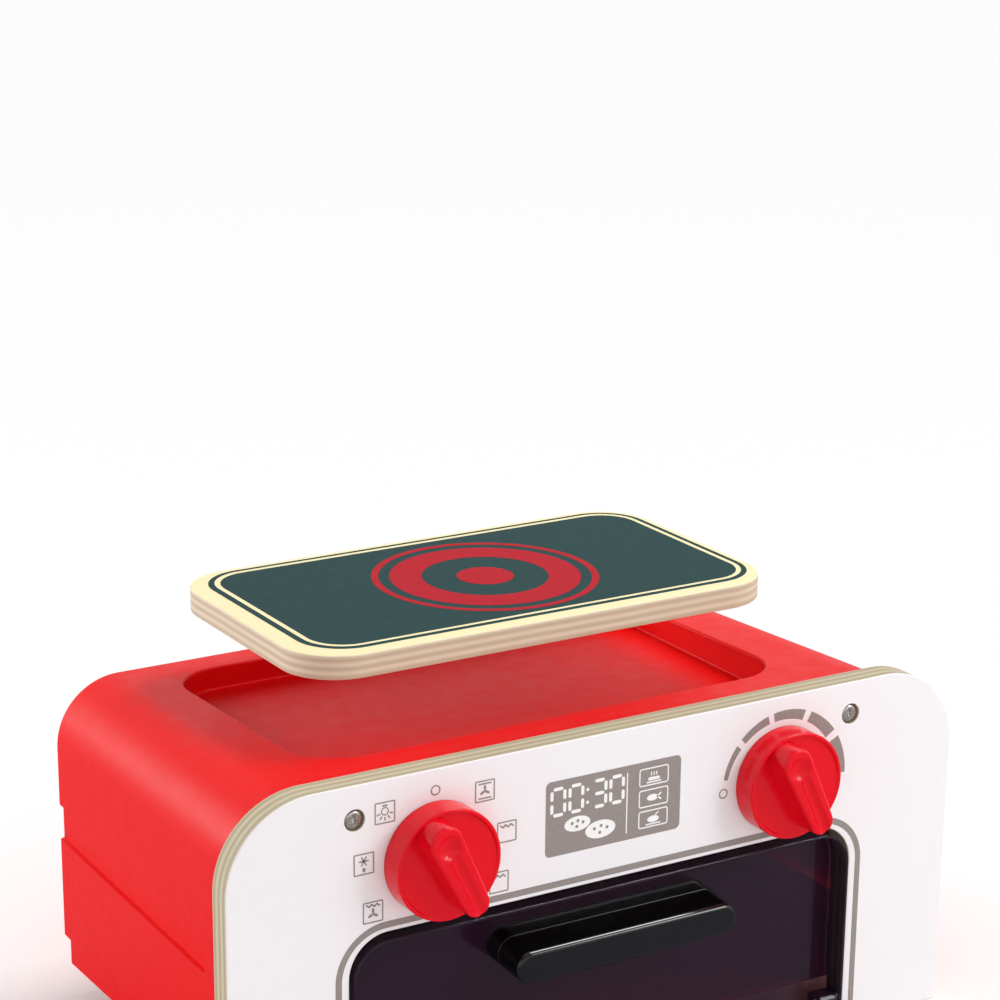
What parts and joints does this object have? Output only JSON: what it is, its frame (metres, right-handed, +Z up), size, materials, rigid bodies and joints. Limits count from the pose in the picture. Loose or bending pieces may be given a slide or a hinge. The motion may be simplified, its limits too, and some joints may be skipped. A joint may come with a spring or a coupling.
{
  "type": "toy oven",
  "caption": "Table-top toy oven: plywood front with a drop-down tinted door and clicking knobs, red moulded casing, and a lift-off plywood hob board.",
  "frame": {"origin": "middle of the bounding box's underside, on the table that the oven stands on", "axes": "+Z up, the front panel and door face -Y, +X to the right when facing the door"},
  "size_m": [0.27, 0.1678, 0.1502],
  "materials": {
    "plywood": "birch plywood with a white satin lacquer on its front and bare layered edges",
    "printed_board": "plywood with a slate satin print and bare layered edges",
    "red_plastic": "satin moulded red ABS",
    "knob_plastic": "satin moulded red ABS",
    "door_plastic": "polished smoke-tinted clear plastic",
    "handle_plastic": "polished black plastic",
    "nylon": "natural nylon",
    "steel": "plain steel",
    "zinc_screw": "zinc plated steel",
    "foot_rubber": "matt black rubber"
  },
  "bodies": {
    "housing": {"front_panel": "plywood", "casing": "red_plastic", "base_plate": "red_plastic", "door_catch": "nylon", "door_catch_screw": "zinc_screw", "base_screw_front_left": "zinc_screw", "base_screw_front_right": "zinc_screw", "base_screw_back_left": "zinc_screw", "base_screw_back_right": "zinc_screw", "back_foot_left": "foot_rubber", "foot_screw_left": "zinc_screw", "hinge_pin_left": "steel", "panel_screw_left": "zinc_screw", "lower_panel_screw_left": "zinc_screw", "spindle_bush_left": "nylon", "click_spring_left": "steel", "click_spring_screw_left": "zinc_screw", "back_foot_right": "foot_rubber", "foot_screw_right": "zinc_screw", "hinge_pin_right": "steel", "panel_screw_right": "zinc_screw", "lower_panel_screw_right": "zinc_screw", "spindle_bush_right": "nylon", "click_spring_right": "steel", "click_spring_screw_right": "zinc_screw"},
    "door": {"door": "door_plastic", "handle_cap": "handle_plastic"},
    "hob_board": {"hob_board": "printed_board"},
    "knob_left": {"knob_left": "knob_plastic", "knob_spindle_left": "steel", "click_wheel_left": "nylon", "retaining_washer_left": "zinc_screw", "spindle_screw_left": "zinc_screw"},
    "knob_right": {"knob_right": "knob_plastic", "knob_spindle_right": "steel", "click_wheel_right": "nylon", "retaining_washer_right": "zinc_screw", "spindle_screw_right": "zinc_screw"}
  },
  "joints": [
    {"name": "door_hinge", "type": "hinge", "parent": "housing", "child": "door", "pos_m": [0, -0.06427, 0.0085], "axis": [1, 0, 0], "range_deg": [0, 80]},
    {"name": "knob_left_turn", "type": "hinge", "parent": "housing", "child": "knob_left", "pos_m": [-0.0646, -0.06747, 0.09525], "axis": [0, 1, 0], "continuous": true},
    {"name": "knob_right_turn", "type": "hinge", "parent": "housing", "child": "knob_right", "pos_m": [0.0646, -0.06747, 0.09525], "axis": [0, 1, 0], "continuous": true},
    {"name": "hob_board_lift", "type": "slide", "parent": "housing", "child": "hob_board", "axis": [0, 0, 1], "range_m": [-0.0343, 0.06]}
  ]
}
